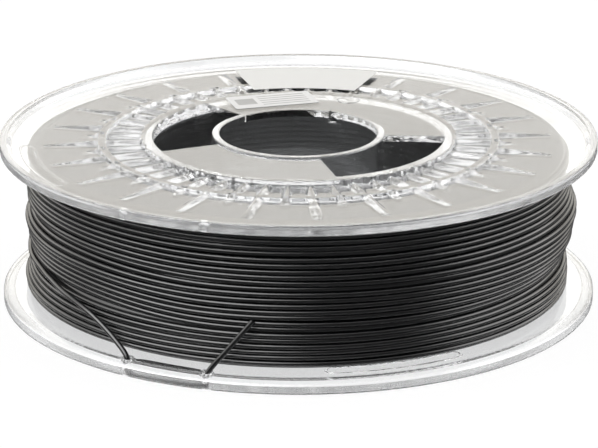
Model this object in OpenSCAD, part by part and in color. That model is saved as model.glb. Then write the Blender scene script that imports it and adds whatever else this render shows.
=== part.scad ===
// Clear two-part filament spool, full of 1.75 mm filament.
// Both halves are the same moulding: the lower one is the upper one turned over.
// The origin is on the axis, in the plane that the lower rim stands on. +Z is the axis.

/* [Spool] */
// Outer diameter of both flanges
flange_d = 200; // [192:1:210]
// Overall width between the outer faces of the rims
spool_w = 55.4; // [48:0.2:70]
// Diameter of the bore through the hub
bore_d = 53; // [48:0.5:56]
// Wall of the bore tube
bore_wall = 2.5; // [1.6:0.1:3.5]
// Outer diameter of the drum that the filament is wound on
drum_d = 103; // [98:1:110]
// Wall of the drum
drum_wall = 2.5; // [1.6:0.1:3.5]

/* [Flange] */
// Depth of the disc's outer face below the rim
disc_recess = 2.7; // [2.4:0.1:3.2]
// Thickness of the disc
disc_t = 1.8; // [1.4:0.1:2.6]
// Thickness of the flange at its outer edge
edge_t = 3.2; // [2.8:0.1:4]
// Depth of the disc's outer face where it meets the rim
shoulder_depth = 2.2; // [1.8:0.1:2.4]
// Width of the rim that stands above the disc
rim_w = 4; // [3:0.2:6]
// Width of the slope from the disc up to the top of the rim
rim_slope_w = 1.8; // [1:0.1:2.4]
// Radius of the rounded outer edge of the rim
rim_round = 0.6; // [0.2:0.1:1]
// Width of the band where the outer face of the disc rises towards the rim
flare_w = 14; // [10:0.5:16]
// Width of the band where the inner face slopes away from the winding
bevel_w = 6; // [4:0.5:7]

/* [Ribs] */
// Number of long ribs, with a short rib between each two
rib_n = 24; // [12:1:30]
// Angle of the first long rib
rib_angle = 4; // [0:1:14]
// Depth of the tops of the ribs below the rim
rib_recess = 1.5; // [1:0.1:2]
// Width of a long rib at the hub
rib_root_w = 3.2; // [2:0.1:4]
// Width of a long rib at its tip
rib_tip_w = 0.6; // [0.4:0.1:1.2]
// Distance from the tips of the long ribs to where the disc starts to rise
rib_tip_gap = 0.6; // [0.4:0.1:3]
// Width of a short rib
short_rib_w = 1.8; // [1:0.1:3]
// Outer diameter of the raised ring around the short ribs
rib_ring_d = 135; // [124:1:144]
// Width of the raised ring
rib_ring_w = 3; // [2:0.2:5]
// Height of the oval mark field on the inner face of each flange
oval_h = 0.3; // [0.2:0.1:0.5]

/* [Hub] */
// Depth of the hub's outer face below the rim
web_recess = 0.6; // [0.4:0.1:1]
// Thickness of the hub webs
web_t = 2.1; // [1.6:0.1:3]
// Width of the collar that stands outside the drum on the flange
collar_w = 1; // [0.6:0.1:2]
// Angle that each of the two hub windows spans
window_span = 72; // [50:1:90]
// Angle from the turn-over axis to the middle of each window
window_offset = 76.5; // [60:0.5:90]
// Width of the notch in the end of the bore tube
notch_w = 3; // [2:0.5:6]
// Depth of the notch in the end of the bore tube
notch_depth = 4; // [2:0.5:6]
// Diameter of the round gate seat on the back web
gate_d = 8.4; // [6:0.2:9]
// Width and height of the seam rib inside the drum wall
seam_rib = 1; // [0.6:0.1:1.6]

/* [Filament holes] */
// Diameter of the holes that hold the end of the filament
hole_d = 3.4; // [3.2:0.1:3.8]
// Distance of the holes from the outer edge of the flange
hole_inset = 5; // [4.8:0.1:5.4]
// Angle between the two holes of a flange
hole_span = 17; // [16.5:0.5:17.5]

/* [Filament] */
// Diameter of the filament
filament_d = 1.75; // [1.5:0.05:1.8]
// Outer diameter over the outermost turns
wound_d = 183; // [160:1:183]
// Spacing of the outermost turns
turn_pitch = 2.2; // [2.2:0.05:3]
// Clearance between the winding and the spool around it
wound_gap = 0.3; // [0.2:0.05:0.5]

/* [Labels] */
// Thickness of both labels
label_t = 0.15; // [0.1:0.05:0.3]
// Angle that the large label spans
big_label_span = 35; // [25:1:40]
// Angle of the middle of the large label
big_label_angle = 88; // [80:1:100]
// Distance from the collar of the hub to the large label
big_label_in_gap = 6.5; // [4:0.5:9]
// Distance from the large label to where the disc starts to rise
big_label_out_gap = 0.6; // [0.4:0.1:3]
// Width of the small label
small_label_w = 30; // [20:1:32]
// Height of the small label
small_label_h = 15; // [10:0.5:16]
// Distance from the edge of the hub's collar to the small label
small_label_gap = 3.1; // [1:0.1:4]
// Angle of the middle of the small label
small_label_angle = 102.6; // [95:0.1:110]
// Angle that the small label is turned from square to the radius
small_label_tilt = 4; // [0:1:6]

/* [Hidden] */
$fn = 120;

flange_r = flange_d / 2;
bore_r = bore_d / 2;
tube_r = bore_r + bore_wall;
drum_r = drum_d / 2;
drum_in_r = drum_r - drum_wall;
collar_r = drum_r + collar_w;
half_w = spool_w / 2;
joined = 0.5;              // how far a raised form runs into what carries it
through = 1;               // how far a cut runs past a face

// Both halves map onto each other when the spool is turned over about this line.
turn_axis = 64;
front_web_span = 2 * window_offset - window_span;
back_web_span = 360 - front_web_span - 2 * window_span;

// Flange: depths are measured from the rim's outer face towards the winding.
inner_depth = disc_recess + disc_t;
flare_r = flange_r - flare_w;
bevel_r = flange_r - bevel_w;
shoulder_r = flange_r - rim_w;
rib_ring_r = rib_ring_d / 2;
rib_pitch = 360 / rib_n;
hole_r = flange_r - hole_inset;

// A bare oval field for mould marks, on the inner face just outside the winding.
oval_w = 5.6;
oval_gap = 0.6;
oval_r = bevel_r - oval_gap - oval_w / 2;
oval_span = 26;
oval_angle = 198;
oval_line = 0.8;
oval_side_steps = 12;
oval_end_steps = 7;
oval_end_start = 20;       // the first degrees of each round end belong to the sides

gate_angle = 67;
gate_gap = 0.4;
gate_r = drum_in_r - gate_gap - gate_d / 2;
gate_line = 0.7;
gate_depth = 0.3;
seam_angle = 136;

// Winding
turn_steps = 24;
turn_sides = 6;
turn_r = wound_d / 2 - filament_d / 2;
wound_low = inner_depth + wound_gap;
wound_high = spool_w - inner_depth - wound_gap;
turn_places = floor((wound_high - wound_low - filament_d) / turn_pitch);
turns = turn_places - 1;   // the loose end lies in the place that is left
low_turns = 5;             // turns below that place
shift_steps = 3;           // steps that the helix takes across that place
turn_low = (spool_w - turn_places * turn_pitch) / 2;
turn_end_angle = 100;
core_gap = 0.1;            // under the middles of the outermost turns' straight lengths
core_r = turn_r * cos(180 / turn_steps) - filament_d / 2 - core_gap;

// The end of the filament: [angle, distance outside the outermost turns' middle, height].
// It leaves the lowest turn, climbs over the low turns, lies in the place kept for it and
// goes down over the low turns again and through one hole of the lower flange. From there
// it bends in under the disc and up through the other hole, and stops in the open.
end_sides = 8;
end_route = [
    [108, 1.2, 6], [116, 2.2, 7.7], [130, 2.3, 11.6], [143, 2.1, 15.2], [155, 1.9, 17.6],
    [165, 0.9, 18.5], [176, 0.1, 18.45], [190, 0, 18.3], [203, 0.15, 18.3], [208, 0.7, 18.1],
    [214, 1.6, 17.35], [219, 2.2, 16.5], [224.5, 2.65, 14.55], [229.4, 3.2, 11.1],
    [233.2, 3.95, 7.35], [234.9, 4.5, 5.1], [235.4, 4.7, 3.7],
    [235.5, 4.35, 2.4], [235.72, 3.45, 1.45], [236.3, 2.4, 1.02], [237.6, 1.45, 1], [240.2, 1, 1],
    [244, 0.9, 1],
    [247.8, 1, 1], [250.4, 1.45, 1], [251.7, 2.4, 1.02], [252.28, 3.45, 1.45], [252.5, 4.35, 2.4],
    [252.6, 4.7, 3.7], [253.1, 4.5, 5.3], [254.1, 4.2, 7.5], [256.2, 3.9, 11.6],
    [258.9, 3.48, 17.1], [261.35, 3.1, 22]
];
end_step = 4.5;

// Labels
big_label_in_r = collar_r + big_label_in_gap;
big_label_out_r = flare_r - big_label_out_gap;
small_label_r = collar_r - small_label_gap - small_label_h / 2;

clear_plastic = "gainsboro";
filament_colour = "#26282a";
label_colour = "white";

function polar(r, a, z = 0) = [r * cos(a), r * sin(a), z];
function arc(centre, r, from, to, steps = 4) =
    [for (i = [0:steps]) centre + r * [cos(from + (to - from) * i / steps), sin(from + (to - from) * i / steps)]];

// One half of the spool, with its outer face in the plane z = 0 and the rest below it.

flange_profile = concat(
    [[drum_r, -inner_depth], [bevel_r, -inner_depth], [flange_r, -edge_t]],
    arc([flange_r - rim_round, -rim_round], rim_round, 0, 90),
    [
        [shoulder_r + rim_slope_w, 0], [shoulder_r, -shoulder_depth], [flare_r, -disc_recess],
        [drum_r, -disc_recess]
    ]
);

module long_rib() {
    tip_r = flare_r - rib_tip_gap;
    polygon([
        [collar_r, -rib_root_w / 2], [tip_r, -rib_tip_w / 2],
        [tip_r, rib_tip_w / 2], [collar_r, rib_root_w / 2]
    ]);
}

module short_rib() {
    translate([collar_r, -short_rib_w / 2])
        square([rib_ring_r - rib_ring_w / 2 - collar_r, short_rib_w]);
}

// The ring and its ribs stand on the disc, and their tops are level.
module rib_pattern() {
    translate([0, 0, -disc_recess - joined])
        linear_extrude(disc_recess + joined - rib_recess) {
            difference() {
                circle(rib_ring_r);
                circle(rib_ring_r - rib_ring_w);
            }
            for (i = [0:rib_n - 1]) {
                rotate(rib_angle + i * rib_pitch)
                    long_rib();
                rotate(rib_angle + (i + 0.5) * rib_pitch)
                    short_rib();
            }
        }
}

// A raised outline with round ends, bent along the flange, on its inner face.
function oval_round_end(a, turned, inset) =
    arc(oval_r * [cos(a), sin(a)], oval_w / 2 - inset,
        a + turned + oval_end_start, a + turned + 180 - oval_end_start, oval_end_steps);
function oval_outline(inset, a = oval_span / 2) = concat(
    arc([0, 0], oval_r + oval_w / 2 - inset, -a, a, oval_side_steps),
    oval_round_end(a, 0, inset),
    arc([0, 0], oval_r - oval_w / 2 + inset, a, -a, oval_side_steps),
    oval_round_end(-a, 180, inset)
);

module mark_oval() {
    translate([0, 0, -inner_depth - oval_h])
        rotate(oval_angle)
            linear_extrude(oval_h + joined)
                difference() {
                    polygon(oval_outline(0));
                    polygon(oval_outline(oval_line));
                }
}

module half_flange() {
    difference() {
        union() {
            rotate_extrude()
                polygon(flange_profile);
            rib_pattern();
        }
        for (side = [-1, 1])
            translate(polar(hole_r, 180 + turn_axis + side * hole_span / 2, -inner_depth - through))
                cylinder(h = inner_depth + 2 * through, d = hole_d);
    }
}

module half_drum_wall() {
    rotate_extrude()
        polygon([
            [drum_in_r, -half_w], [drum_r, -half_w], [drum_r, -disc_recess],
            [collar_r, -disc_recess], [collar_r, -web_recess], [drum_in_r, -web_recess]
        ]);
    rotate(seam_angle)
        translate([drum_in_r - seam_rib, -seam_rib / 2, -half_w])
            cube([seam_rib + joined, seam_rib, half_w - web_recess]);
}

module half_bore_tube() {
    difference() {
        rotate_extrude()
            translate([bore_r, -half_w])
                square([bore_wall, half_w]);
        rotate(turn_axis)
            translate([bore_r - through, -notch_w / 2, -notch_depth])
                cube([bore_wall + 2 * through, notch_w, notch_depth + through]);
    }
}

module web(centre, span) {
    rotate(centre - span / 2)
        rotate_extrude(angle = span)
            translate([tube_r, -web_recess - web_t])
                square([drum_in_r - tube_r, web_t]);
}

module half_front_web() {
    web(180 + turn_axis, front_web_span);
}

module half_back_web() {
    difference() {
        web(turn_axis, back_web_span);
        translate(polar(gate_r, gate_angle, -web_recess - gate_depth))
            difference() {
                cylinder(h = gate_depth + through, d = gate_d);
                translate([0, 0, -through])
                    cylinder(h = gate_depth + 3 * through, d = gate_d - 2 * gate_line);
            }
    }
}

module upper() {
    color(clear_plastic)
        translate([0, 0, spool_w])
            children();
}

module lower() {
    color(clear_plastic)
        rotate(2 * turn_axis)
            rotate([180, 0, 0])
                children();
}

// A tube of straight lengths along a path, each ring square to the path there.
function unit(v) = v / norm(v);
function heading(path, i) = unit(path[min(i + 1, len(path) - 1)] - path[max(i - 1, 0)]);
function carried(across, ahead) = unit(across - (across * ahead) * ahead);
function across_all(path) = [
    for (i = 0, v = carried([0, 0, 1], heading(path, 0)); i < len(path);
         i = i + 1, v = i < len(path) ? carried(v, heading(path, i)) : v) v
];

module tube(path, d, sides) {
    across = across_all(path);
    last = len(path) - 1;
    points = [
        for (i = [0:last], k = [0:sides - 1])
            path[i] + d / 2 * (cos(360 * k / sides) * across[i]
                + sin(360 * k / sides) * cross(heading(path, i), across[i]))
    ];
    walls = [
        for (i = [0:last - 1], k = [0:sides - 1], t = [0, 1])
            let (a = i * sides + k, b = i * sides + (k + 1) % sides)
                t == 0 ? [a, a + sides, b] : [b, a + sides, b + sides]
    ];
    caps = [
        for (k = [1:sides - 2], t = [0, 1])
            t == 0 ? [0, k, k + 1] : [last * sides, last * sides + k + 1, last * sides + k]
    ];
    polyhedron(points, concat(walls, caps));
}

// The outermost layer: one helix down the winding, and the least gap between its turns.
// Its first and last lengths, of one filament diameter, run straight.
straight = filament_d * [-sin(turn_end_angle), cos(turn_end_angle), 0];
function turn_height(i) = turn_low + turn_pitch * (turn_places - i / turn_steps
    - min(max((i - (turns - low_turns) * turn_steps) / shift_steps, 0), 1));
layer_high_end = polar(turn_r, turn_end_angle, turn_height(0));
layer_low_end = polar(turn_r, turn_end_angle, turn_low);
layer_path = concat(
    [layer_high_end - straight],
    [
        for (i = [0:turns * turn_steps])
            polar(turn_r, turn_end_angle + 360 * i / turn_steps, turn_height(i))
    ],
    [layer_low_end + straight]
);
layer_gap = min([
    for (i = [0:len(layer_path) - 1 - turn_steps / 2], k = [turn_steps / 2:turn_steps * 3 / 2])
        if (i + k < len(layer_path)) norm(layer_path[i + k] - layer_path[i])
]) - filament_d;
echo("least gap between turns, mm", layer_gap);

// The loose end: a smooth curve through the route's points.
function along(a, b, c, d, t) =
    b + (c - a) * t / 2 + (2 * a - 5 * b + 4 * c - d) * t * t / 2 + (3 * (b - c) + d - a) * t * t * t / 2;
function route_point(p) = polar(turn_r + p[1], p[0], p[2]);
end_stops = concat(
    [layer_low_end + straight, layer_low_end + 2 * straight],
    [for (p = end_route) route_point(p)]
);
end_last = len(end_stops) - 1;
end_path = concat([
    for (i = [0:end_last - 1])
        let (steps = max(1, round(norm(end_stops[i + 1] - end_stops[i]) / end_step)))
            for (k = [0:steps - 1])
                along(end_stops[max(i - 1, 0)], end_stops[i], end_stops[i + 1],
                      end_stops[min(i + 2, end_last)], k / steps)
], [end_stops[end_last]]);
end_length = [for (i = [1:len(end_path) - 1]) norm(end_path[i] - end_path[i - 1])]
    * [for (i = [1:len(end_path) - 1]) 1];
echo("length of the loose end, mm", end_length, "rings", len(end_path));

module upper_flange() {
    upper() {
        half_flange();
        mark_oval();
    }
}
module upper_drum_wall() { upper() half_drum_wall(); }
module upper_bore_tube() { upper() half_bore_tube(); }
module upper_front_web() { upper() half_front_web(); }
module upper_back_web() { upper() half_back_web(); }
module lower_flange() {
    lower() {
        half_flange();
        mark_oval();
    }
}
module lower_drum_wall() { lower() half_drum_wall(); }
module lower_bore_tube() { lower() half_bore_tube(); }
module lower_front_web() { lower() half_front_web(); }
module lower_back_web() { lower() half_back_web(); }

module filament_core() {
    color(filament_colour)
        rotate_extrude()
            translate([drum_r + wound_gap, wound_low])
                square([core_r - drum_r - wound_gap, wound_high - wound_low]);
}

module filament_outer_layer() {
    color(filament_colour)
        tube(layer_path, filament_d, turn_sides);
}

module filament_end() {
    color(filament_colour)
        tube(end_path, filament_d, end_sides);
}

// The large label lies on the tops of the ribs, and the small one on the hub.
module brand_label() {
    color(label_colour)
        rotate(big_label_angle - big_label_span / 2)
            rotate_extrude(angle = big_label_span)
                translate([big_label_in_r, spool_w - rib_recess])
                    square([big_label_out_r - big_label_in_r, label_t]);
}

module data_label() {
    color(label_colour)
        translate(polar(small_label_r, small_label_angle, spool_w - web_recess))
            rotate(small_label_angle - 90 + small_label_tilt)
                translate([-small_label_w / 2, -small_label_h / 2, 0])
                    cube([small_label_w, small_label_h, label_t]);
}

upper_flange();
upper_drum_wall();
upper_bore_tube();
upper_front_web();
upper_back_web();
lower_flange();
lower_drum_wall();
lower_bore_tube();
lower_front_web();
lower_back_web();
filament_core();
filament_outer_layer();
filament_end();
brand_label();
data_label();
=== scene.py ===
"""Clear plastic filament spool full of black filament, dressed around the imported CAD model.

Lengths are in mm until a mesh is made, which is in metres, in the CAD's frame.
"""
from math import atan2, cos, degrees, exp, hypot, pi, radians, sin

import bmesh
import bpy
from mathutils import Matrix, Vector
from mathutils.geometry import delaunay_2d_cdt


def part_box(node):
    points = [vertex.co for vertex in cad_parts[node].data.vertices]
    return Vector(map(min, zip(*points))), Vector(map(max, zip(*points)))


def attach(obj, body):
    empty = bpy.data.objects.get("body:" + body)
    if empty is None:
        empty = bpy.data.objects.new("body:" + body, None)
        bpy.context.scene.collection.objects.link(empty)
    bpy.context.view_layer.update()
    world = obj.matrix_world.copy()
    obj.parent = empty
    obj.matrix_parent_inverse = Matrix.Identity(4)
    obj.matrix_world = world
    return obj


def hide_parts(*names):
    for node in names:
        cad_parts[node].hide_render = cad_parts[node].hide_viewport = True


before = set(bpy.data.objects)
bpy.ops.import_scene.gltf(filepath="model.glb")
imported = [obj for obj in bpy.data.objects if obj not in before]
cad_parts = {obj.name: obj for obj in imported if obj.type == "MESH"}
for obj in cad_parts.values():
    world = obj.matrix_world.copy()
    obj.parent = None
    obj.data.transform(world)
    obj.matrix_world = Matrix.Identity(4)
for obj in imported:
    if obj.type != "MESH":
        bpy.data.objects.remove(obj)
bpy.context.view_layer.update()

MM = 0.001
BODY = "root"

# ---------------------------------------------------------------- sizes from the frame


def box_mm(node):
    low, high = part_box(node)
    return [c / MM for c in low], [c / MM for c in high]


SPOOL_W = box_mm("upper_bore_tube")[1][2]
TUBE_R = box_mm("upper_bore_tube")[1][0]
COLLAR_R = box_mm("upper_drum_wall")[1][0]
HUB_DEPTH = SPOOL_W - box_mm("upper_drum_wall")[1][2]
WEB_BOTTOM = SPOOL_W - box_mm("upper_back_web")[0][2]
WOUND_LOW = box_mm("filament_core")[0][2]
WOUND_HIGH = box_mm("filament_core")[1][2]
RIB_TOP = SPOOL_W - box_mm("brand_label")[0][2]
BRAND_TOP_Z = box_mm("brand_label")[1][2]
DATA_Z, DATA_TOP_Z = (box_mm("data_label")[i][2] for i in (0, 1))

# ---------------------------------------------------------------- values of the CAD source
# The ribs and the bevel are finer here than in the solids, and have sizes of their own.

TUBE_WALL, DRUM_WALL, COLLAR_W = 2.5, 2.5, 1
BORE_R = TUBE_R - TUBE_WALL
DRUM_R = COLLAR_R - COLLAR_W
DRUM_IN_R = DRUM_R - DRUM_WALL
FLANGE_R = 100
DISC_DEPTH = 2.7           # depths are measured from the rim's outer face
INNER_DEPTH = 4.5
EDGE_DEPTH = 3.2
BEVEL_R, BEVEL_POWER = 95.3, 1.6
FLARE_R = 86               # where the disc begins to rise towards the rim
SHOULDER_R, SHOULDER_DEPTH, SHOULDER_ROUND = 96, 2.2, 0.3
LIP_R = 97.8               # inner edge of the rim's flat lip
RIB_N = 24
RIB_ANGLE = 4
RIB_ROOT_W, RIB_TIP_W, RIB_TIP_R = 3.8, 3.2, 85.4
SHORT_RIB_W = 3
RING_OUT_R, RING_IN_R = 67.5, 64.5
TURN_AXIS = 64
WINDOW_EDGES = (131.5, 203.5, 284.5, 356.5)
NOTCH_W, NOTCH_DEPTH = 3, 4
HALF_NOTCH = degrees(NOTCH_W / 2 / ((BORE_R + TUBE_R) / 2))
SEAM_ANGLE, SEAM_RIB = 136, 1
HALF_SEAM = degrees(SEAM_RIB / 2 / DRUM_IN_R)
HOLE_R, HOLE_ANGLES, HOLE_D = 95, (235.5, 252.5), 3.4
OVAL_ANGLE, OVAL_SPAN, OVAL_R, OVAL_W, OVAL_H = 198, 26, 90.6, 5.6, 0.3
GATE_R, GATE_ANGLE, GATE_D, GATE_LINE, GATE_DEPTH = 44.4, 67, 8.4, 0.7, 0.3
FILAMENT_R = 0.875
TURN_R, TURN_END_ANGLE, TURN_LOW = 90.625, 100, 5.7


def clamp(t):
    return min(max(t, 0), 1)


def polar(r, angle, z=0.0):
    return Vector((r * cos(radians(angle)), r * sin(radians(angle)), z))


def add_object(name, mesh, material, slot, *nodes):
    """A finished piece: it rides on the spool and stands for the CAD nodes named."""
    obj = bpy.data.objects.new(name, mesh)
    bpy.context.scene.collection.objects.link(obj)
    mesh.materials.append(material)
    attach(obj, BODY)
    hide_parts(*nodes)
    return obj


MOULDED_SMOOTH, ROUND_SMOOTH, SHEET_SMOOTH = 35, 60, 30   # edges sharper than this stay sharp


def build_mesh(name, points, faces, smooth_angle):
    """A closed mesh from points in mm, with its faces turned outwards."""
    mesh = bpy.data.meshes.new(name)
    mesh.from_pydata([Vector(p) * MM for p in points], [], faces)
    bm = bmesh.new()
    bm.from_mesh(mesh)
    bmesh.ops.recalc_face_normals(bm, faces=bm.faces)
    bm.to_mesh(mesh)
    bm.free()
    mesh.shade_smooth()
    mesh.set_sharp_from_angle(angle=radians(smooth_angle))
    return mesh


# ---------------------------------------------------------------- one half of the spool

RIB_STEPS = 9              # columns across a rib
BAY_STEPS = 5              # columns between two ribs
SECTOR = 2 * (RIB_STEPS + BAY_STEPS)
COLUMNS = SECTOR * RIB_N
STEP = 360 / COLUMNS
MID_GAP = 0.03             # half of the joint's width between the two halves
EDGE_ROUND = 0.35          # of the bore tube's end
WINDOW_BEVEL = 0.2         # of the webs' edges at the windows
WINDOW_INSET = 0.45        # in degrees, from such an edge to the next column of its web
SEAM_FOOT = 0.2            # in degrees, the slope beside the seam rib


def column_angle(j):
    return RIB_ANGLE + (j - RIB_STEPS // 2) * STEP


def nearest_column(angle):
    return round((angle - RIB_ANGLE) / STEP + RIB_STEPS // 2) % COLUMNS


def hub_angles():
    """Even angles, apart from columns moved onto the edges of windows, notch and seam."""
    angles = [column_angle(j) for j in range(COLUMNS)]
    for k, edge in enumerate(WINDOW_EDGES):
        j = nearest_column(edge)
        into_web = -1 if k % 2 == 0 else 1
        angles[j] = edge
        angles[(j + into_web) % COLUMNS] = edge + into_web * WINDOW_INSET
    for side in (-1, 1):
        edge = TURN_AXIS + side * HALF_NOTCH
        angles[nearest_column(edge)] = edge
    offsets = (-HALF_SEAM - SEAM_FOOT, -HALF_SEAM, HALF_SEAM, HALF_SEAM + SEAM_FOOT)
    for k, offset in enumerate(offsets):
        angles[SEAM_COLUMN - 1 + k] = SEAM_ANGLE + offset
    return angles


SEAM_COLUMN = nearest_column(SEAM_ANGLE - HALF_SEAM)
EDGE_COLUMNS = [nearest_column(edge) for edge in WINDOW_EDGES]
NOTCH_COLUMNS = [nearest_column(TURN_AXIS + side * HALF_NOTCH) for side in (-1, 1)]
HUB_ANGLES = hub_angles()


def between(j, first, last):
    """Whether the quad from column j to the next lies from column first to column last."""
    return (j - first) % COLUMNS < (last - first) % COLUMNS


def in_window(j):
    return between(j, *EDGE_COLUMNS[:2]) or between(j, *EDGE_COLUMNS[2:])


def touches_window(j):
    return in_window(j) or in_window((j - 1) % COLUMNS)


def in_notch(j):
    return between(j, *NOTCH_COLUMNS)


# How much of a rib's height each column across it has, and how far out it stands as a
# share of half the rib's width. The outermost columns lie on the disc at the rib's foot.
RIB_SHAPE = (0, 0.08, 0.6, 0.95, 1, 0.95, 0.6, 0.08, 0)
RIB_SHARES = (1, 0.62, 0.24, 0)
RIB_FOOT = 0.2


def rib_offset(i, half):
    """Distance of column i of a rib from its middle, for a rib of that half width."""
    across = (half + RIB_FOOT, *(share * half for share in RIB_SHARES))
    middle = RIB_STEPS // 2
    return (-1 if i < middle else 1) * across[middle - abs(i - middle)]


def long_half(r):
    t = (r - COLLAR_R) / (RIB_TIP_R - COLLAR_R)
    return (RIB_ROOT_W + (RIB_TIP_W - RIB_ROOT_W) * clamp(t)) / 2


def rib_column(j, r):
    """Angle of column j at radius r, the height share of a rib there, and its place in a bay."""
    sector, i = divmod(j, SECTOR)
    middle = RIB_ANGLE + sector * 360 / RIB_N
    half_sector = SECTOR // 2
    long_side = i < half_sector
    centre = middle + (0 if long_side else 180 / RIB_N)
    half = long_half(r) if long_side else SHORT_RIB_W / 2
    i %= half_sector
    if i < RIB_STEPS:
        return centre + degrees(rib_offset(i, half) / r), RIB_SHAPE[i], 1.0, long_side
    next_half = SHORT_RIB_W / 2 if long_side else long_half(r)
    start = centre + degrees(rib_offset(RIB_STEPS - 1, half) / r)
    end = centre + 180 / RIB_N + degrees(rib_offset(0, next_half) / r)
    share = (i - RIB_STEPS + 1) / (BAY_STEPS + 1)
    return start + (end - start) * share, 0, abs(2 * share - 1), long_side


def rise_depth(r):
    """Outer face of the disc, which rises a little, and then steeply at the rim's inner wall."""
    slight = (DISC_DEPTH - SHOULDER_DEPTH) / (SHOULDER_R - FLARE_R)
    steep = SHOULDER_DEPTH / (LIP_R - SHOULDER_R) - slight
    depth = DISC_DEPTH - slight * max(r - FLARE_R, 0)
    past = r - SHOULDER_R
    if past >= SHOULDER_ROUND:
        return depth - steep * past
    return depth - steep * max(past + SHOULDER_ROUND, 0) ** 2 / (4 * SHOULDER_ROUND)


def bevel_depth(r):
    """Inner face of the flange, which curves away from the winding near its edge."""
    t = max(r - BEVEL_R, 0) / (FLANGE_R - BEVEL_R)
    return INNER_DEPTH - (INNER_DEPTH - EDGE_DEPTH) * t ** BEVEL_POWER


class Shell:
    """Points (x, y, depth) and faces of one moulding, built from rows round the axis."""

    def __init__(self):
        self.points = []
        self.faces = []

    def point(self, r, angle, depth):
        p = polar(r, angle)
        self.points.append((p.x, p.y, depth))
        return len(self.points) - 1

    def row(self, r, depth, angles=None):
        """A row of points. r and depth are numbers or functions of the column."""
        angles = angles or [column_angle(j) for j in range(COLUMNS)]
        at = lambda value, j: value(j) if callable(value) else value
        return [self.point(at(r, j), angles[j], at(depth, j)) for j in range(COLUMNS)]

    def band(self, a, b, where=None):
        for j in range(COLUMNS):
            if where is None or where(j):
                k = (j + 1) % COLUMNS
                self.faces.append((a[j], a[k], b[k], b[j]))

    def bands(self, rows, where=None):
        for a, b in zip(rows, rows[1:]):
            self.band(a, b, where)

    def loop(self, centre, outline, depth):
        """Points of a closed outline, in mm from centre; depth is a number or function of r."""
        first = len(self.points)
        for x, y in outline:
            x, y = x + centre[0], y + centre[1]
            d = depth(hypot(x, y)) if callable(depth) else depth
            self.points.append((x, y, d))
        return list(range(first, len(self.points)))

    def join(self, a, b):
        """Walls between two closed loops of the same number of points."""
        n = len(a)
        for i in range(n):
            k = (i + 1) % n
            self.faces.append((a[i], a[k], b[k], b[i]))

    def fill(self, loops, inside, spots=()):
        """Triangles between closed loops, seen along the axis, where inside(x, y) holds.

        spots are points that the triangles also meet."""
        used = [i for loop in loops for i in loop] + list(spots)
        place = {}
        for i in used:
            place.setdefault(i, len(place))
        order = list(place)
        flat = [Vector(self.points[i][:2]) for i in order]
        edges = [
            (place[loop[i]], place[loop[(i + 1) % len(loop)]])
            for loop in loops for i in range(len(loop))
        ]
        coords, _, faces, origins, _, _ = delaunay_2d_cdt(flat, edges, [], 0, 1e-6)
        names = [order[o[0]] if o else None for o in origins]
        for face in faces:
            middle = sum((coords[v] for v in face), Vector((0, 0))) / len(face)
            if inside(middle.x, middle.y) and None not in [names[v] for v in face]:
                self.faces.append(tuple(names[v] for v in face))


CIRCLE_STEPS = 40
OVAL_SIDE_STEPS, OVAL_END_STEPS = 36, 12


def circle_outline(r):
    steps = [2 * pi * i / CIRCLE_STEPS for i in range(CIRCLE_STEPS)]
    return [(r * cos(a), r * sin(a)) for a in steps]


def oval_outline(inset):
    """A bent oval: two arcs about the axis, joined by round ends."""
    side, end = OVAL_SIDE_STEPS, OVAL_END_STEPS
    half = OVAL_SPAN / 2
    points = []
    for sign in (1, -1):
        r = OVAL_R + sign * (OVAL_W / 2 - inset)
        arc = [OVAL_ANGLE + sign * (-half + 2 * half * i / side) for i in range(side + 1)]
        points += [polar(r, angle).xy for angle in arc]
        tip = polar(OVAL_R, OVAL_ANGLE + sign * half)
        start = OVAL_ANGLE + sign * half + (0 if sign == 1 else 180)
        points += [
            (tip + polar(OVAL_W / 2 - inset, start + 180 * i / end)).xy for i in range(1, end)
        ]
    return points


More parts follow.
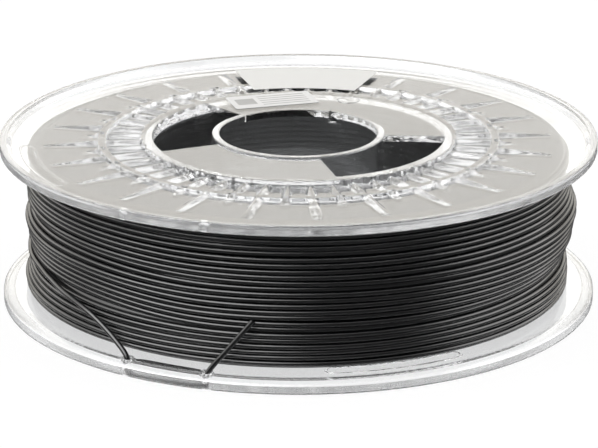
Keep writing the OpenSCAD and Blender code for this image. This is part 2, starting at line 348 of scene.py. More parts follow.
def hub(shell):
    """Bore tube, webs and drum wall. Gives the rows that the flange joins."""
    angles = HUB_ANGLES
    middle = SPOOL_W / 2 - MID_GAP
    top = lambda j: HUB_DEPTH + (WINDOW_BEVEL if j in EDGE_COLUMNS else 0)

    # Bore tube, from its inner wall over its rounded end to its outer wall
    inner_mid = shell.row(BORE_R, middle, angles)
    inner_notch = shell.row(BORE_R, NOTCH_DEPTH, angles)
    e = EDGE_ROUND
    halfway, flat = 0.29 * e, 1.6 * e
    end_rows = [
        shell.row(r, d, angles) for r, d in (
            (BORE_R, e), (BORE_R + halfway, halfway), (BORE_R + e, 0), (BORE_R + flat, 0),
            (TUBE_R - flat, 0), (TUBE_R - e, 0), (TUBE_R - halfway, halfway), (TUBE_R, e))
    ]
    web_in = shell.row(TUBE_R, top, angles)
    under_in = shell.row(TUBE_R, WEB_BOTTOM, angles)
    outer_notch = shell.row(TUBE_R, NOTCH_DEPTH, angles)
    outer_mid = shell.row(TUBE_R, middle, angles)
    no_notch = lambda j: not in_notch(j)
    shell.bands([inner_mid, inner_notch])
    shell.bands([inner_notch, *end_rows, web_in], no_notch)
    shell.band(web_in, under_in, lambda j: in_window(j) or in_notch(j))
    shell.band(under_in, outer_notch, no_notch)
    shell.bands([outer_notch, outer_mid, inner_mid])
    shell.band(inner_notch, outer_notch, in_notch)
    notch_rows = (inner_notch, *end_rows, web_in, under_in, outer_notch)
    for j in NOTCH_COLUMNS:
        shell.faces.append([row[j] for row in notch_rows])

    # Drum wall: in the windows its edge is bevelled, elsewhere the web runs into it
    bevel, half_bevel = 0.3, 0.08
    seam_r = lambda j: DRUM_IN_R - (SEAM_RIB if j in (SEAM_COLUMN, SEAM_COLUMN + 1) else 0)
    drum_top = lambda j: top(j) + (bevel if touches_window(j) and j not in EDGE_COLUMNS else 0)
    lip_top = lambda j: HUB_DEPTH + (half_bevel if touches_window(j) else 0)
    web_out = shell.row(DRUM_IN_R, drum_top, angles)
    lip = [
        shell.row(r, d, angles)
        for r, d in ((DRUM_IN_R + 0.1, lip_top), (DRUM_IN_R + 0.35, HUB_DEPTH))
    ]
    under_out = shell.row(seam_r, WEB_BOTTOM, angles)
    drum_mid = shell.row(seam_r, middle, angles)
    drum_out_mid = shell.row(DRUM_R, middle, angles)
    shell.bands([web_out, *lip])
    shell.band(web_out, under_out, in_window)
    shell.bands([under_out, drum_mid, drum_out_mid])

    # Webs: top, underside, and the faces at the windows
    shell.band(under_in, under_out, lambda j: not in_window(j))
    for j in EDGE_COLUMNS:
        shell.faces.append((web_in[j], web_out[j], under_out[j], under_in[j]))
    front = lambda j: between(j, EDGE_COLUMNS[1], EDGE_COLUMNS[2])
    shell.band(web_in, web_out, front)
    back_web(shell, web_in, web_out)
    return lip[-1], drum_out_mid


def back_web(shell, web_in, web_out):
    """The back web's outer face, with its round gate seat and two bevelled ends."""
    first, last = EDGE_COLUMNS[3], EDGE_COLUMNS[0]
    span = (last - first) % COLUMNS
    columns = [(first + i) % COLUMNS for i in range(span + 1)]
    for j in (columns[0], columns[-2]):
        k = (j + 1) % COLUMNS
        shell.faces.append((web_in[j], web_in[k], web_out[k], web_out[j]))
    flat = columns[1:-1]
    border = [web_in[j] for j in flat] + [web_out[j] for j in reversed(flat)]
    centre = polar(GATE_R, GATE_ANGLE)
    r, slope = GATE_D / 2, 0.15
    radii = (r, r - slope, r - GATE_LINE + slope, r - GATE_LINE)
    rings = [
        shell.loop(centre, circle_outline(r), HUB_DEPTH + d)
        for r, d in zip(radii, (0, GATE_DEPTH, GATE_DEPTH, 0))
    ]
    shell.fill([border, *rings], lambda x, y: in_sector(x, y, flat))


# A ring of straight edges comes nearer to the axis than its corners, by this factor.
CHORD = cos(pi / COLUMNS)


def in_sector(x, y, columns):
    angle = degrees(atan2(y, x))
    start = HUB_ANGLES[columns[0]]
    end = HUB_ANGLES[columns[-1]]
    in_ring = TUBE_R * CHORD < hypot(x, y) < DRUM_IN_R
    return in_ring and (angle - start) % 360 < (end - start) % 360


# Rows of the outer face from the collar to the rise: radius and depth between the ribs
COLLAR_ROWS = (
    (COLLAR_R - 0.6, HUB_DEPTH), (COLLAR_R - 0.3, HUB_DEPTH + 0.03),
    (COLLAR_R - 0.08, HUB_DEPTH + 0.15), (COLLAR_R, HUB_DEPTH + 0.4),
    (COLLAR_R + 0.1, DISC_DEPTH - 0.4), (COLLAR_R + 0.24, DISC_DEPTH - 0.1),
    (COLLAR_R + 0.55, DISC_DEPTH), (COLLAR_R + 1.2, DISC_DEPTH),
    (55.5, DISC_DEPTH), (57.5, DISC_DEPTH), (60, DISC_DEPTH), (62.5, DISC_DEPTH),
)
RING_ROWS = (
    (RING_IN_R - 0.5, DISC_DEPTH), (RING_IN_R - 0.25, DISC_DEPTH - 0.1),
    (RING_IN_R - 0.1, DISC_DEPTH - 0.4), (RING_IN_R + 0.05, RIB_TOP + 0.3),
    (RING_IN_R + 0.2, RIB_TOP + 0.08), (RING_IN_R + 0.5, RIB_TOP),
    (65.6, RIB_TOP), (65.75, RIB_TOP), (66.75, RIB_TOP), (66.9, RIB_TOP),
    (RING_OUT_R - 0.4, RIB_TOP), (RING_OUT_R - 0.2, RIB_TOP + 0.06),
    (RING_OUT_R - 0.06, RIB_TOP + 0.3), (RING_OUT_R + 0.06, DISC_DEPTH - 0.4),
    (RING_OUT_R + 0.2, DISC_DEPTH - 0.1), (RING_OUT_R + 0.45, DISC_DEPTH),
)
TIP_FALL = {85.1: 0.95, 85.3: 0.6, 85.45: 0.1, 85.75: 0}   # a rib's height share at its tip
DISC_ROWS = tuple((r, DISC_DEPTH) for r in (70, 73, 76, 79, 82, 84, *TIP_FALL))
FIELD_R = DISC_ROWS[-1][0]
RISE_ROWS = (86.5, 88, 89.8, 91.3)
# Rim, from the lip's inner edge over the outer wall to the inner face
LIP_START_R = 97.68
RIM_ROWS = (
    (LIP_R, 0.05), (LIP_R + 0.2, 0), (99, 0), (99.5, 0), (99.72, 0.04), (99.88, 0.13),
    (99.97, 0.28), (99.99, 0.45), (99.99, 2.7), (99.94, 2.95), (99.8, 3.12),
)
RIM_END_R = 99.5
# Inner face, from the bevel down to the drum wall
INNER_ROWS = (
    (86, INNER_DEPTH), (78, INNER_DEPTH), (68, INNER_DEPTH), (60, INNER_DEPTH),
    (DRUM_R + 0.6, INNER_DEPTH), (DRUM_R + 0.25, INNER_DEPTH + 0.08),
    (DRUM_R + 0.08, INNER_DEPTH + 0.25), (DRUM_R, INNER_DEPTH + 0.6),
)
DRUM_ROW_DEPTH = 16
# Where the faces with holes have more points
OUTER_SPOTS = (92.8, 94.1, 95, 95.7, 95.85, 96, 96.15, 96.3, 96.8, 97.3)
INNER_SPOTS = (98.8, 98.1, 97.4, 96.7, 96, BEVEL_R, 94)
SPOT_GAP = 0.3
# The raised oval's line: how far in from its outline, and how high
OVAL_LINE = (
    (-0.1, 0), (0.05, OVAL_H - 0.05), (0.2, OVAL_H),
    (0.6, OVAL_H), (0.75, OVAL_H - 0.05), (0.9, 0),
)
BOSS_R, BOSS_DEPTH = 2.2, 1.9
BOSS_FOOT_R = BOSS_R + 0.1
HOLE_MOUTH_R = HOLE_D / 2 + 0.3
POCKET_R = (65.75, 66.75)  # pockets in the rib ring, at the short ribs
POCKET_RISE = 0.05         # of a pocket's floor above the disc
TAPER_R, TAPER = 69, 0.9   # where the long ribs begin to fall, and how far by their tips
# These ribs carry the large label, at their full height. The second value is in degrees,
# on each side of a rib.
LABEL_RIBS, LABEL_RIB_REACH = (79, 94), 4
SCALLOP = 0.5              # how far the round corners of a bay reach out from the collar
SCALLOP_END_R = 60


def rib_height(r, angle):
    if any(abs((angle - a + 180) % 360 - 180) < LABEL_RIB_REACH for a in LABEL_RIBS):
        return DISC_DEPTH - RIB_TOP
    return (DISC_DEPTH - RIB_TOP) * (1 - TAPER * clamp((r - TAPER_R) / (RIB_TIP_R - TAPER_R)))


def rib_field_row(shell, r, depth, scalloped):
    """One row of the ribbed field: the higher of the ribs and of the rings between them."""
    scallop = SCALLOP if scalloped else 0
    fade = clamp((SCALLOP_END_R - r) / (SCALLOP_END_R - COLLAR_R))
    row = []
    for j in range(COLUMNS):
        _, share, corner, long_side = rib_column(j, r)
        reach = scallop * corner ** 3 * fade
        angle = rib_column(j, r + reach)[0]
        if r > RING_OUT_R + 0.5 and not long_side:
            share = 0
        share *= TIP_FALL.get(r, 1)
        rib = DISC_DEPTH - rib_height(r, angle) * share
        d = min(depth, rib)
        if not long_side and POCKET_R[0] <= r <= POCKET_R[1] and share > 0.5:
            d = DISC_DEPTH - POCKET_RISE
        row.append(shell.point(r + reach, angle, d))
    return row


def morphed_row(shell, r, depth):
    """A row between the ribs' uneven columns and the rim's even ones."""
    t = clamp((r - FIELD_R) / (RISE_ROWS[-1] - FIELD_R))
    return [
        shell.point(r, rib_column(j, RIB_TIP_R)[0] * (1 - t) + column_angle(j) * t, depth)
        for j in range(COLUMNS)
    ]


def flange(shell, collar_row, drum_out_mid):
    """Outer face with ribs, rim, and inner face down to the drum wall."""
    rows = [collar_row]
    rows += [rib_field_row(shell, r, d, i > 0) for i, (r, d) in enumerate(COLLAR_ROWS)]
    rows += [rib_field_row(shell, r, d, False) for r, d in RING_ROWS + DISC_ROWS]
    rows += [morphed_row(shell, r, rise_depth(r)) for r in RISE_ROWS]
    shell.bands(rows)

    lip_start = (LIP_START_R, rise_depth(LIP_START_R))
    rim_end = (RIM_END_R, bevel_depth(RIM_END_R))
    rim = [shell.row(r, d) for r, d in (lip_start, *RIM_ROWS, rim_end)]
    shell.bands(rim)
    inner = [shell.row(r, d) for r, d in INNER_ROWS]
    inner.append(shell.row(DRUM_R, DRUM_ROW_DEPTH, HUB_ANGLES))
    shell.bands([*inner, drum_out_mid])

    outer_edges, inner_edges = [], []
    for angle in HOLE_ANGLES:
        loops = filament_hole(shell, polar(HOLE_R, angle))
        outer_edges += loops[:1]
        inner_edges += loops[-1:]

    def clear_of_holes(x, y, reach):
        return all((Vector((x, y)) - polar(HOLE_R, a).xy).length > reach for a in HOLE_ANGLES)

    def between_rings(in_r, out_r, reach):
        return lambda x, y: in_r * CHORD < hypot(x, y) < out_r and clear_of_holes(x, y, reach)

    def spots(radii, depth, reach):
        placed = [i for r in radii for i in shell.row(r, depth(r))]
        return [i for i in placed if clear_of_holes(*shell.points[i][:2], reach + SPOT_GAP)]

    shell.fill(
        [rows[-1], rim[0], *outer_edges], between_rings(RISE_ROWS[-1], LIP_START_R, BOSS_FOOT_R),
        spots(OUTER_SPOTS, rise_depth, BOSS_FOOT_R))
    ovals = [shell.loop((0, 0), oval_outline(inset), INNER_DEPTH + h) for inset, h in OVAL_LINE]
    shell.fill(
        [rim[-1], inner[0], *inner_edges, *ovals],
        between_rings(INNER_ROWS[0][0], RIM_END_R, HOLE_MOUTH_R),
        spots(INNER_SPOTS, bevel_depth, HOLE_MOUTH_R))


def filament_hole(shell, centre):
    """A hole through the flange, in a low boss on the outer face. Gives its loops of points."""
    r, soft = HOLE_D / 2, 0.12
    boss = lambda drop: lambda q: min(BOSS_DEPTH + drop, rise_depth(q))
    mouth = lambda rise: lambda q: bevel_depth(q) - rise
    steps = (
        (BOSS_FOOT_R, rise_depth), (BOSS_R, boss(0.15)), (BOSS_R - soft, boss(0)),
        (r + soft, boss(0)), (r, boss(soft)),
        (r, mouth(0.3)), (r + 0.08, mouth(0.08)), (HOLE_MOUTH_R, bevel_depth),
    )
    loops = [shell.loop(centre, circle_outline(radius), depth) for radius, depth in steps]
    for a, b in zip(loops, loops[1:]):
        shell.join(a, b)
    return loops


def spool_halves(material):
    """The moulding, made once, and the same moulding turned over as the lower half."""
    shell = Shell()
    flange(shell, *hub(shell))
    used = sorted({i for face in shell.faces for i in face})
    place = {i: k for k, i in enumerate(used)}
    faces = [[place[i] for i in face] for face in shell.faces]
    points = [shell.points[i] for i in used]
    turn = Matrix.Rotation(pi, 3, polar(1, TURN_AXIS))
    halves = {
        "upper": [(x, y, SPOOL_W - d) for x, y, d in points],
        "lower": [turn @ Vector((x, y, -d)) for x, y, d in points],
    }
    parts = ("flange", "drum_wall", "bore_tube", "front_web", "back_web")
    for side, placed in halves.items():
        mesh = build_mesh(f"{side}_half", placed, faces, MOULDED_SMOOTH)
        obj = add_object(
            f"{side}_half", mesh, material, "clear_plastic", *(f"{side}_{part}" for part in parts))
        even = obj.modifiers.new("flat faces", "WEIGHTED_NORMAL")
        even.keep_sharp = True


# ---------------------------------------------------------------- winding

TURNS = 23
TURN_STEPS = 144
TURN_SIDES = 12
TURN_TOP_Z = WOUND_HIGH - 1
TURN_PITCH = (TURN_TOP_Z - TURN_LOW) / TURNS
LAYER_R = 90.3             # middle of the outermost turns
# How unevenly the turns lie, in mm: the layer's radius, all turns together up and down,
# each turn up and down, and each turn in and out
LAYER_WAVE, SHARED_WAVE, TURN_WAVE, TURN_OUT_WAVE = 0.25, 0.4, 0.22, 0.3
# The loose end's place in the layer, at the left: its height and width, the turns below it,
# and the angles between which it opens and closes
PLACE_Z, PLACE_GAP, LOW_TURNS = 18.35, 3.8, 6
PLACE_OPENS, PLACE_CLOSES = (118, 148), (217, 252)
PLACE_CALM = 4             # within about this height of it, the turns lie evenly
# Where the winding stands in or out, at its left and right side: (height, change, half width)
LEFT_SWELLS = ((33.5, -1.2, 1.8), (29.2, 0.8, 2), (18, -1, 4), (8.5, 1.2, 3))
RIGHT_SWELLS = ((31.5, 2.5, 5), (24, 0.9, 4), (17, -1.4, 3.5))
SWELL_POWER = 1.5          # how fast they fade towards the front and the back


def wave(x, seed, terms=3):
    """A smooth made-up curve of about -1 to 1, the same on each run."""
    phases = [x * (k + 1) + 2.4 * seed * (k + 1.7) + 1.3 * k * seed for k in range(terms)]
    return sum(sin(phase) / (k + 1) ** 0.7 for k, phase in enumerate(phases)) / 2.2


def tube_mesh(name, path, r, sides):
    """A closed tube of that radius along a path in mm."""
    across = Vector((0, 0, 1))
    points, faces = [], []
    last = len(path) - 1
    for i, p in enumerate(path):
        ahead = (path[min(i + 1, last)] - path[max(i - 1, 0)]).normalized()
        across = (across - ahead * across.dot(ahead)).normalized()
        side = ahead.cross(across)
        for k in range(sides):
            turn = 2 * pi * k / sides
            points.append(p + (across * cos(turn) + side * sin(turn)) * r)
    for i in range(last):
        for k in range(sides):
            m = (k + 1) % sides
            a, b = i * sides, (i + 1) * sides
            faces.append((a + k, a + m, b + m, b + k))
    faces.append(tuple(range(sides)))
    faces.append(tuple(last * sides + k for k in range(sides)))
    return build_mesh(name, points, faces, ROUND_SMOOTH)


def layer_r(theta, z):
    """Radius of the outermost layer's middle."""
    r = LAYER_R + LAYER_WAVE * wave(theta, 5 + 0.13 * z)
    for swells, share in ((LEFT_SWELLS, -cos(theta)), (RIGHT_SWELLS, cos(theta))):
        r += max(share, 0) ** SWELL_POWER * sum(
            change * exp(-((z - middle) / half) ** 2) for middle, change, half in swells)
    return r


def outer_turn_path():
    """The outermost layer: one run down the winding, that leaves a place for the loose end."""
    path = []
    above = TURNS - LOW_TURNS
    for i in range(TURNS * TURN_STEPS + 1):
        turn = i / TURN_STEPS
        k = min(i // TURN_STEPS, TURNS - 1)
        f = turn - k
        theta = radians(TURN_END_ANGLE) + 2 * pi * turn
        angle = degrees(theta) % 360
        z = TURN_TOP_Z - TURN_PITCH * turn
        # The height of the turn beside the loose end's place
        if k < above:
            start = PLACE_Z + PLACE_GAP / 2
            aside = start + (above - 1 - k) * (TURN_TOP_Z - TURN_PITCH * f - start) / (above - 1)
        else:
            start = PLACE_Z - PLACE_GAP / 2
            low = start - TURN_LOW - TURN_PITCH * (1 - f)
            aside = start - (k - above) * low / (LOW_TURNS - 1)
        share = step_between(angle, *PLACE_OPENS) * (1 - step_between(angle, *PLACE_CLOSES))
        calm = share * exp(-((z - PLACE_Z) / PLACE_CALM) ** 2)
        loose = min(turn, TURNS - turn, 1) * (1 - calm)
        z += share * (aside - z)
        together = SHARED_WAVE * wave(theta, 1 + 0.05 * turn, 4) * (0.5 + cos(theta) ** 2)
        z += loose * (together + TURN_WAVE * wave(theta, 3 + 0.7 * turn))
        z = min(max(z, TURN_LOW), TURN_TOP_Z)
        out = TURN_OUT_WAVE * loose * wave(theta, 2 + 0.9 * turn)
        path.append(polar(layer_r(theta, z) + out, angle, z))
    return path


def step_between(value, start, end):
    """A smooth step from 0 to 1 as the value goes from start to end."""
    t = clamp((value - start) / (end - start))
    return t * t * (3 - 2 * t)


BUMP_STEPS, BUMP_POWER = 4, 0.6


def bumps(start, end, pitch, height):
    """Points from start to end in a plane, with round bumps on the left of the way."""
    start, end = Vector(start), Vector(end)
    way = end - start
    n = max(1, round(way.length / pitch)) * BUMP_STEPS
    out = Vector((-way.y, way.x)).normalized()
    points = []
    for i in range(n):
        bump = abs(sin(pi * i / BUMP_STEPS)) ** BUMP_POWER
        points.append(start + way * (i / n) + out * height * bump)
    return points


BODY_COLUMNS = 240
BODY_INNER_R, BODY_OUTER_R = DRUM_R + 0.85, LAYER_R - 1.0   # there is air at the drum wall
BODY_LOW, BODY_HIGH = WOUND_LOW + 0.5, WOUND_HIGH - 0.5
# Pitch and height of the bumps on its inner wall, top, outer wall and underside
BODY_PITCHES, BODY_BUMPS = (1.9, 1.78, 2.1, 1.78), (0.7, 0.45, 0.45, 0.45)
BODY_WAVE = 0.05           # how unevenly the bumps lie
SWELL_START_R = DRUM_R + 30   # from here outwards, the body swells as the outermost layer does


def winding_body(material):
    """All layers under the outermost one: a ring whose faces show the turns."""
    corners = [
        (BODY_INNER_R, BODY_LOW), (BODY_INNER_R, BODY_HIGH),
        (BODY_OUTER_R, BODY_HIGH), (BODY_OUTER_R, BODY_LOW),
    ]
    profile = []
    for k, corner in enumerate(corners):
        profile += bumps(corner, corners[(k + 1) % 4], BODY_PITCHES[k], BODY_BUMPS[k])
    n = len(profile)
    points, faces = [], []
    for c in range(BODY_COLUMNS):
        theta = 2 * pi * c / BODY_COLUMNS
        d = (c + 1) % BODY_COLUMNS
        for k, p in enumerate(profile):
            swell = (layer_r(theta, p.y) - LAYER_R) * max(p.x - SWELL_START_R, 0)
            bump = k // BUMP_STEPS
            r = p.x + swell / (BODY_OUTER_R - SWELL_START_R) + BODY_WAVE * wave(theta, 0.37 * bump)
            z = p.y + BODY_WAVE * wave(theta, 9 + 0.53 * bump)
            points.append((r * cos(theta), r * sin(theta), z))
            m = (k + 1) % n
            faces.append((c * n + k, c * n + m, d * n + m, d * n + k))
    mesh = build_mesh("winding_body", points, faces, ROUND_SMOOTH)
    add_object("winding_body", mesh, material, "filament", "filament_core")


def outer_turns(material):
    mesh = tube_mesh("outer_turns", outer_turn_path(), FILAMENT_R, TURN_SIDES)
    add_object("outer_turns", mesh, material, "filament", "filament_outer_layer")


# The route of the loose end, as in the CAD source:
# [angle, distance outside the middle of the outermost turns, height].
END_ROUTE = (
    (108, 1.2, 6), (116, 2.2, 7.7), (130, 2.3, 11.6), (143, 2.1, 15.2), (155, 1.9, 17.6),
    (165, 0.9, 18.5), (176, 0.1, 18.45), (190, 0, 18.3), (203, 0.15, 18.3), (208, 0.7, 18.1),
    (214, 1.6, 17.35), (219, 2.2, 16.5), (224.5, 2.65, 14.55), (229.4, 3.2, 11.1),
    (233.2, 3.95, 7.35), (234.9, 4.5, 5.1), (235.4, 4.7, 3.7),
    (235.5, 4.35, 2.4), (235.72, 3.45, 1.45), (236.3, 2.4, 1.02), (237.6, 1.45, 1), (240.2, 1, 1),
    (244, 0.9, 1),
    (247.8, 1, 1), (250.4, 1.45, 1), (251.7, 2.4, 1.02), (252.28, 3.45, 1.45), (252.5, 4.35, 2.4),
    (252.6, 4.7, 3.7), (253.1, 4.5, 5.3), (254.1, 4.2, 7.5), (256.2, 3.9, 11.6),
    (258.9, 3.48, 17.1), (261.35, 3.1, 22),
)
END_STEP, END_SIDES = 0.9, 16


def smooth_path(stops, step):
    """A smooth curve through the stops, with a point every step mm or so."""
    path = []
    last = len(stops) - 1
    for i in range(last):
        a, b, c, d = (stops[min(max(i + k, 0), last)] for k in (-1, 0, 1, 2))
        n = max(1, round((c - b).length / step))
        for k in range(n):
            t = k / n
            path.append(
                b + (c - a) * t / 2 + (2 * a - 5 * b + 4 * c - d) * t * t / 2
                + (3 * (b - c) + d - a) * t ** 3 / 2)
    return path + [stops[-1]]


def loose_end(material):
    straight = polar(2 * FILAMENT_R, TURN_END_ANGLE + 90)
    first = polar(TURN_R, TURN_END_ANGLE, TURN_LOW)
    stops = [first + straight, first + straight * 2]
    stops += [polar(TURN_R + out, angle, z) for angle, out, z in END_ROUTE]
    path = smooth_path(stops, END_STEP)
    mesh = tube_mesh("loose_end", path, FILAMENT_R, END_SIDES)
    obj = add_object("loose_end", mesh, material, "filament", "filament_end")


# ---------------------------------------------------------------- labels

BRAND_SPAN, BRAND_ANGLE, BRAND_STEPS = 35, 88, 60
BRAND_IN_R, BRAND_OUT_R = COLLAR_R + 6.5, RIB_TIP_R
DATA_W, DATA_H, DATA_R, DATA_ANGLE, DATA_TILT = 30, 15, 41.9, 102.6, 4
DATA_CORNER, DATA_CORNER_STEP = 0.8, 15
SHEET_ROUND, SHEET_ROUND_SHARE = 0.04, 0.3   # of a top edge: inset, and share of thickness


def slab(name, node, outline, low, high, material):
    """A thin sheet with rounded top edges: outline(inset) gives its points."""
    n = len(outline(0))
    rings = [(0, low), (0, high - SHEET_ROUND_SHARE * (high - low)), (SHEET_ROUND, high)]
    points = [(p[0], p[1], z) for inset, z in rings for p in outline(inset)]
    last = (len(rings) - 1) * n
    faces = [tuple(range(n)), tuple(last + i for i in range(n))]
    for a in range(0, last, n):
        for i in range(n):
            k = (i + 1) % n
            faces.append((a + i, a + k, a + n + k, a + n + i))
    mesh = build_mesh(name, points, faces, SHEET_SMOOTH)
    add_object(name, mesh, material, "label", node)


def brand_outline(inset):
    turn = degrees(inset / BRAND_IN_R)
    start, end = BRAND_ANGLE - BRAND_SPAN / 2 + turn, BRAND_ANGLE + BRAND_SPAN / 2 - turn
    angles = [start + (end - start) * i / BRAND_STEPS for i in range(BRAND_STEPS + 1)]
    outer = [polar(BRAND_OUT_R - inset, a) for a in angles]
    return outer + [polar(BRAND_IN_R + inset, a) for a in reversed(angles)]


def data_outline(inset):
    centre = polar(DATA_R, DATA_ANGLE)
    turn = Matrix.Rotation(radians(DATA_ANGLE - 90 + DATA_TILT), 3, "Z")
    points = []
    for sx, sy, start in ((1, 1, 0), (-1, 1, 90), (-1, -1, 180), (1, -1, 270)):
        middle = Vector((sx * (DATA_W / 2 - DATA_CORNER), sy * (DATA_H / 2 - DATA_CORNER), 0))
        for angle in range(start, start + 91, DATA_CORNER_STEP):
            points.append(centre + turn @ (middle + polar(DATA_CORNER - inset, angle)))
    return points


# ---------------------------------------------------------------- materials


def new_material(name):
    material = bpy.data.materials.new(name)
    material.use_nodes = True
    nodes = material.node_tree.nodes
    return material, nodes, material.node_tree.links, nodes["Principled BSDF"]


def calc(nodes, links, operation, first, second):
    """A math node of an output and of a number or another output."""
    node = nodes.new("ShaderNodeMath")
    node.operation = operation
    links.new(first, node.inputs[0])
    if isinstance(second, (int, float)):
        node.inputs[1].default_value = second
    else:
        links.new(second, node.inputs[1])
    return node.outputs[0]


def ramp(nodes, links, value, low, high, to_low, to_high):
    """A smooth step of a value, from to_low at low to to_high at high."""
    step = nodes.new("ShaderNodeMapRange")
    step.interpolation_type = "SMOOTHSTEP"
    names = ("From Min", "From Max", "To Min", "To Max")
    for name, number in zip(names, (low, high, to_low, to_high)):
        step.inputs[name].default_value = number
    links.new(value, step.inputs["Value"])
    return step.outputs["Result"]


def mix_in(nodes, links, base, share, shader):
    """A mix of two shaders, in which the second takes the given share."""
    mix = nodes.new("ShaderNodeMixShader")
    links.new(share, mix.inputs["Fac"])
    links.new(base.outputs[0], mix.inputs[1])
    links.new(shader.outputs[0], mix.inputs[2])
    return mix


def add_bump(nodes, links, shader, scale, distance, strength):
    """Fine noise in the surface. Gives its node."""
    coords = nodes.new("ShaderNodeTexCoord")
    noise = nodes.new("ShaderNodeTexNoise")
    noise.inputs["Scale"].default_value = scale
    noise.inputs["Detail"].default_value = 2
    bump = nodes.new("ShaderNodeBump")
    bump.inputs["Distance"].default_value = distance
    bump.inputs["Strength"].default_value = strength
    links.new(coords.outputs["Object"], noise.inputs["Vector"])
    links.new(noise.outputs["Fac"], bump.inputs["Height"])
    links.new(bump.outputs["Normal"], shader.inputs["Normal"])
    return noise


# Roughness by distance from the axis, in m: of the clear disc, up to the rim's softer edge
RIM_ROUGHNESS = (0.096, 0.1, 0.015, 0.25)


def clear_plastic():
    material, nodes, links, shader = new_material("clear_plastic")
    shader.inputs["Base Color"].default_value = (0.985, 0.99, 0.995, 1)
    shader.inputs["Transmission Weight"].default_value = 0.987
    shader.inputs["IOR"].default_value = 1.59
    coords = nodes.new("ShaderNodeTexCoord")
    flat = nodes.new("ShaderNodeVectorMath")
    flat.operation = "MULTIPLY"
    flat.inputs[1].default_value = (1, 1, 0)
    length = nodes.new("ShaderNodeVectorMath")
    length.operation = "LENGTH"
    links.new(coords.outputs["Object"], flat.inputs[0])
    links.new(flat.outputs[0], length.inputs[0])
    roughness = ramp(nodes, links, length.outputs["Value"], *RIM_ROUGHNESS)
    links.new(roughness, shader.inputs["Roughness"])
    add_bump(nodes, links, shader, scale=60, distance=0.00002, strength=0.25)
    return material


def black_filament():
    material, nodes, links, shader = new_material("black_filament")
    shader.inputs["Base Color"].default_value = (0.006, 0.0062, 0.0068, 1)
    shader.inputs["IOR"].default_value = 1.5
    noise = add_bump(nodes, links, shader, scale=500, distance=0.00002, strength=0.15)
    spread = nodes.new("ShaderNodeMapRange")
    spread.inputs["To Min"].default_value = 0.2
    spread.inputs["To Max"].default_value = 0.27
    links.new(noise.outputs["Fac"], spread.inputs["Value"])
    links.new(spread.outputs["Result"], shader.inputs["Roughness"])
    return material


PAPER_COLOR, INK_GREY = (0.8, 0.8, 0.785, 1), 0.4
# Marks on the small label, in mm from its middle: the rules' place, half size, pitch and
# half width, and the square's place and half size
RULES_X, RULES_HALF_W, RULES_HALF_H, RULE_PITCH, RULE_HALF = 4, 8.5, 5.4, 2.4, 0.4
SQUARE_X, SQUARE_HALF = -9.5, 3.4
MARK_EDGE = 0.05


def label_paper(name):
    material, nodes, links, shader = new_material(name)
    shader.inputs["Base Color"].default_value = PAPER_COLOR
    shader.inputs["Roughness"].default_value = 0.45
    add_bump(nodes, links, shader, scale=1500, distance=0.00001, strength=0.3)
    return material


def ruled_paper():
    """The small label's paper, with five plain rules and a plain square beside them."""
    material = label_paper("ruled_paper")
    nodes, links = material.node_tree.nodes, material.node_tree.links
    turn = -radians(DATA_ANGLE - 90 + DATA_TILT)
    centre = Matrix.Rotation(turn, 3, "Z") @ polar(DATA_R, DATA_ANGLE)
    coords = nodes.new("ShaderNodeTexCoord")
    place = nodes.new("ShaderNodeMapping")
    place.inputs["Rotation"].default_value = (0, 0, turn)
    place.inputs["Location"].default_value = -centre * MM
    split = nodes.new("ShaderNodeSeparateXYZ")
    links.new(coords.outputs["Object"], place.inputs["Vector"])
    links.new(place.outputs["Vector"], split.inputs[0])
    x, y = split.outputs["X"], split.outputs["Y"]

    def near(value, middle, half):
        far = calc(nodes, links, "ABSOLUTE", calc(nodes, links, "SUBTRACT", value, middle * MM), 0)
        return ramp(nodes, links, far, (half - MARK_EDGE) * MM, (half + MARK_EDGE) * MM, 1, 0)

    lines = near(calc(nodes, links, "PINGPONG", y, RULE_PITCH / 2 * MM), 0, RULE_HALF)
    block = calc(
        nodes, links, "MULTIPLY", near(x, RULES_X, RULES_HALF_W), near(y, 0, RULES_HALF_H))
    rules = calc(nodes, links, "MULTIPLY", lines, block)
    square = calc(
        nodes, links, "MULTIPLY", near(x, SQUARE_X, SQUARE_HALF), near(y, 0, SQUARE_HALF))
    ink = calc(nodes, links, "MAXIMUM", rules, square)
    color = ramp(nodes, links, ink, 0, 1, PAPER_COLOR[0], INK_GREY)
    links.new(color, nodes["Principled BSDF"].inputs["Base Color"])
    return material


# ---------------------------------------------------------------- scene

# What reflections show of the studio, in two parts that add up
GLOSS_COLOR, BOX_COLOR = (1, 0.965, 0.89, 1), (0.8, 0.8, 0.8, 1)
GLOSS_RAMP = (-0.5, 0.95, 0.06, 1.68)  # by how far a direction points away from the camera
HIGH_GLOSS = (0.35, 0.85, 0, 0.5)      # by how far it points up
SOFTBOX_RAMP = (0.78, 0.96, 0)         # by how near it points to a softbox
# Each softbox: a direction, and its strength
SOFTBOXES = (((-0.52, -0.46, 0.72), 10), ((0.87, 0.17, 0.463), 4), ((-0.9, 0.27, 0.342), 2))
STUDIO_LIGHT, STUDIO_SEEN = 0.45, 1    # its strength as light, and as seen by the camera
# The floor's glow for each kind of ray: its strength and its share
FLOOR_GLOWS = (
    ("Is Glossy Ray", 0.1, 0.8), ("Is Transmission Ray", 1, 0.35), ("Is Camera Ray", 1.05, 0.88),
)
FLOOR_REACH, FLOOR_Z = 6, -0.0005      # in m, like the places of the lamps
LAMP_TARGET = (0, 0, 0.03)
# The camera, as fitted to the photograph
LENS = 187.78
CAMERA_DISTANCE = 1056.88
CAMERA_ELEVATION = 18.40
TARGET = (0.18, 0, 22.95)


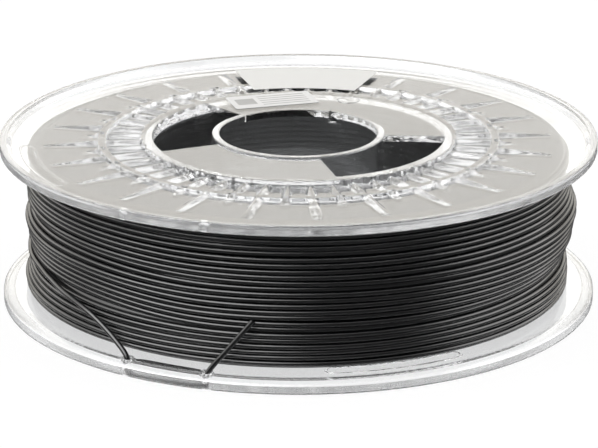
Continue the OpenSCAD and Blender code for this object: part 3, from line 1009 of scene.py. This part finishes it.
def add_camera():
    data = bpy.data.cameras.new("camera")
    data.lens = LENS
    data.sensor_width = 36
    data.clip_end = 50
    camera = bpy.data.objects.new("camera", data)
    bpy.context.scene.collection.objects.link(camera)
    e = radians(CAMERA_ELEVATION)
    camera.location = (Vector(TARGET) + Vector((0, -cos(e), sin(e))) * CAMERA_DISTANCE) * MM
    camera.rotation_euler = (pi / 2 - e, 0, 0)
    bpy.context.scene.camera = camera


def add_area(name, location, size, strength):
    data = bpy.data.lights.new(name, "AREA")
    data.shape = "RECTANGLE"
    data.size, data.size_y = size
    data.energy = strength
    lamp = bpy.data.objects.new(name, data)
    lamp.location = location
    way = Vector(LAMP_TARGET) - Vector(location)
    lamp.rotation_euler = way.to_track_quat("-Z", "Y").to_euler()
    bpy.context.scene.collection.objects.link(lamp)


def background(nodes, strength, color=(1, 1, 1, 1)):
    node = nodes.new("ShaderNodeBackground")
    node.inputs["Color"].default_value = color
    node.inputs["Strength"].default_value = strength
    return node


def add_world():
    """A white studio. Reflections show it dim on the camera's side, with softboxes in it."""
    world = bpy.data.worlds.new("studio")
    bpy.context.scene.world = world
    world.use_nodes = True
    nodes, links = world.node_tree.nodes, world.node_tree.links
    nodes.clear()
    path = nodes.new("ShaderNodeLightPath")
    coords = nodes.new("ShaderNodeTexCoord")
    split = nodes.new("ShaderNodeSeparateXYZ")
    links.new(coords.outputs["Generated"], split.inputs[0])

    gloss, boxes = background(nodes, 1, GLOSS_COLOR), background(nodes, 1, BOX_COLOR)
    links.new(ramp(nodes, links, split.outputs["Y"], *GLOSS_RAMP), gloss.inputs["Strength"])
    total = ramp(nodes, links, split.outputs["Z"], *HIGH_GLOSS)
    for direction, strength in SOFTBOXES:
        near = nodes.new("ShaderNodeVectorMath")
        near.operation = "DOT_PRODUCT"
        near.inputs[1].default_value = direction
        links.new(coords.outputs["Generated"], near.inputs[0])
        part = ramp(nodes, links, near.outputs["Value"], *SOFTBOX_RAMP, strength)
        total = calc(nodes, links, "ADD", total, part)
    links.new(total, boxes.inputs["Strength"])
    both = nodes.new("ShaderNodeAddShader")
    links.new(gloss.outputs[0], both.inputs[0])
    links.new(boxes.outputs[0], both.inputs[1])

    last, seen = background(nodes, STUDIO_LIGHT), background(nodes, STUDIO_SEEN)
    last = mix_in(nodes, links, last, path.outputs["Is Glossy Ray"], both)
    last = mix_in(nodes, links, last, path.outputs["Is Transmission Ray"], seen)
    last = mix_in(nodes, links, last, path.outputs["Is Camera Ray"], seen)
    output = nodes.new("ShaderNodeOutputWorld")
    links.new(last.outputs[0], output.inputs["Surface"])


def add_floor():
    """A wide white floor, which glows so that it looks as bright as the studio."""
    mesh = bpy.data.meshes.new("floor")
    signs = ((-1, -1), (1, -1), (1, 1), (-1, 1))
    corners = [(x * FLOOR_REACH, y * FLOOR_REACH, 0) for x, y in signs]
    mesh.from_pydata(corners, [], [(0, 1, 2, 3)])
    floor = bpy.data.objects.new("floor", mesh)
    floor.location.z = FLOOR_Z
    bpy.context.scene.collection.objects.link(floor)
    material, nodes, links, last = new_material("floor")
    last.inputs["Base Color"].default_value = (0.9, 0.9, 0.9, 1)
    last.inputs["Roughness"].default_value = 0.9
    path = nodes.new("ShaderNodeLightPath")
    for name, strength, share in FLOOR_GLOWS:
        glow = nodes.new("ShaderNodeEmission")
        glow.inputs["Color"].default_value = (1, 1, 1, 1)
        glow.inputs["Strength"].default_value = strength
        if name == "Is Glossy Ray":
            # Reflections inside the plastic see the floor at full strength
            inside = path.outputs["Transmission Depth"]
            links.new(ramp(nodes, links, inside, 0, 1, strength, 1), glow.inputs["Strength"])
        part = calc(nodes, links, "MULTIPLY", path.outputs[name], share)
        last = mix_in(nodes, links, last, part, glow)
    links.new(last.outputs[0], nodes["Material Output"].inputs["Surface"])
    mesh.materials.append(material)


def add_lights():
    add_area("top", (0, 0.1, 1.6), (1.6, 1.6), 8)
    add_area("left", (-1.5, -0.3, 0.7), (0.8, 1.2), 5)
    add_area("right", (1.5, -0.3, 0.7), (0.8, 1.2), 5)


def build():
    plastic, filament, paper = clear_plastic(), black_filament(), label_paper("label_paper")
    add_camera()
    add_world()
    add_floor()
    add_lights()
    loose_end(filament)
    spool_halves(plastic)
    winding_body(filament)
    outer_turns(filament)
    slab("large_sticker", "brand_label", brand_outline, SPOOL_W - RIB_TOP, BRAND_TOP_Z, paper)
    slab("small_sticker", "data_label", data_outline, DATA_Z, DATA_TOP_Z, ruled_paper())
    scene = bpy.context.scene
    scene.view_settings.view_transform = "Standard"
    scene.cycles.max_bounces = 48
    scene.cycles.transmission_bounces = 32
    scene.cycles.glossy_bounces = 40
    scene.cycles.transparent_max_bounces = 16


build()
